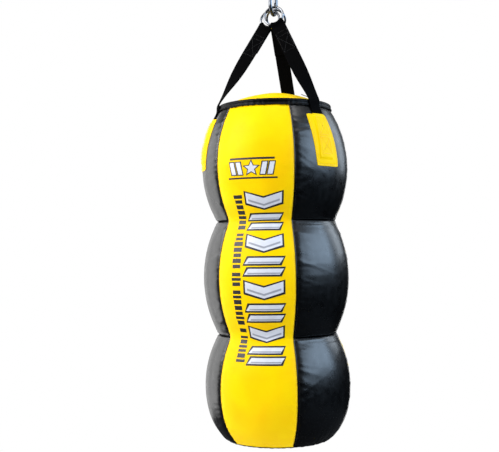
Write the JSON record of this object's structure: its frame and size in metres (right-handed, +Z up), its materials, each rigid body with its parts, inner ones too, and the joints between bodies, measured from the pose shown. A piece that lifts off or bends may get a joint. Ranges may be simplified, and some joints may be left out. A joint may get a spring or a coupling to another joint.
{
  "type": "uppercut bag",
  "caption": "Hanging uppercut bag of stuffed lobes in sewn vinyl panels, held by webbing straps and rings on a swivel snap hook.",
  "frame": {"origin": "inside top of the swivel eye, where the bag hangs from a ceiling hook", "axes": "+Z up along the bag's axis, -Y towards the wide front panel, +X to the viewer's right of that panel"},
  "size_m": [0.385, 0.3906, 1.2559],
  "materials": {
    "zinc_steel": "bright zinc plate, satin",
    "polished_steel": "mirror polished",
    "black_webbing": "matt woven nylon",
    "yellow_vinyl": "semi-gloss coated fabric with a fine grain",
    "black_vinyl": "glossy coated fabric with a fine grain",
    "foam": "open-cell foam",
    "shredded_textile": "packed rags",
    "liner_canvas": "plain canvas",
    "zip_tape": "woven polyester",
    "zip_plastic": "moulded acetal",
    "zip_metal": "nickel plate"
  },
  "bodies": {
    "swivel_eye": {"swivel_eye": "zinc_steel"},
    "snap_hook": {"snap_hook_body": "zinc_steel"},
    "gate": {"snap_hook_gate": "zinc_steel", "gate_pin": "zinc_steel", "gate_spring": "zinc_steel"},
    "bag": {"anchor_patch_back": "yellow_vinyl", "anchor_patch_left": "yellow_vinyl", "anchor_patch_right": "yellow_vinyl", "base_disc": "black_vinyl", "base_foam_pad": "foam", "black_panel_back_lower": "black_vinyl", "black_panel_back_middle": "black_vinyl", "black_panel_back_upper": "black_vinyl", "black_panel_left_lower": "black_vinyl", "black_panel_left_middle": "black_vinyl", "black_panel_left_upper": "black_vinyl", "black_panel_right_lower": "black_vinyl", "black_panel_right_middle": "black_vinyl", "black_panel_right_upper": "black_vinyl", "canvas_liner": "liner_canvas", "foam_lower": "foam", "foam_middle": "foam", "foam_upper": "foam", "rim_binding": "black_vinyl", "ring_back": "polished_steel", "ring_left": "polished_steel", "ring_right": "polished_steel", "strap_back": "black_webbing", "strap_left": "black_webbing", "strap_right": "black_webbing", "textile_fill_lower": "shredded_textile", "textile_fill_middle": "shredded_textile", "textile_fill_upper": "shredded_textile", "top_cap_back": "yellow_vinyl", "top_cap_front": "yellow_vinyl", "top_foam_pad": "foam", "yellow_panel_front": "yellow_vinyl", "yellow_panel_left": "yellow_vinyl", "yellow_panel_right": "yellow_vinyl", "zip_tape_back": "zip_tape", "zip_tape_front": "zip_tape", "zip_teeth_back": "zip_plastic", "zip_teeth_front": "zip_plastic"},
    "zip_slider": {"zip_slider": "zip_metal"},
    "zip_pull": {"zip_pull_tab": "zip_metal"}
  },
  "joints": [
    {"name": "swivel", "type": "hinge", "parent": "swivel_eye", "child": "snap_hook", "pos_m": [0, 0, -0.04], "axis": [0, 0, 1], "continuous": true},
    {"name": "gate_hinge", "type": "hinge", "parent": "snap_hook", "child": "gate", "pos_m": [0, 0.024, -0.063], "axis": [-1, 0, 0], "range_deg": [0, 25], "stiffness_Nm_per_rad": 0.06, "springref_deg": -20.05},
    {"name": "bag_swing", "type": "hinge", "parent": "snap_hook", "child": "bag", "pos_m": [0, 0, -0.1163], "axis": [0, 1, 0], "range_deg": [-32, 32]},
    {"name": "zip_travel", "type": "hinge", "parent": "bag", "child": "zip_slider", "pos_m": [0, 0, -0.59886], "axis": [0, -1, 0], "range_deg": [0, 40]},
    {"name": "zip_pull_flip", "type": "hinge", "parent": "zip_slider", "child": "zip_pull", "pos_m": [0.10654, 0, -0.34907], "axis": [0, 1, 0], "range_deg": [0, 150]}
  ]
}
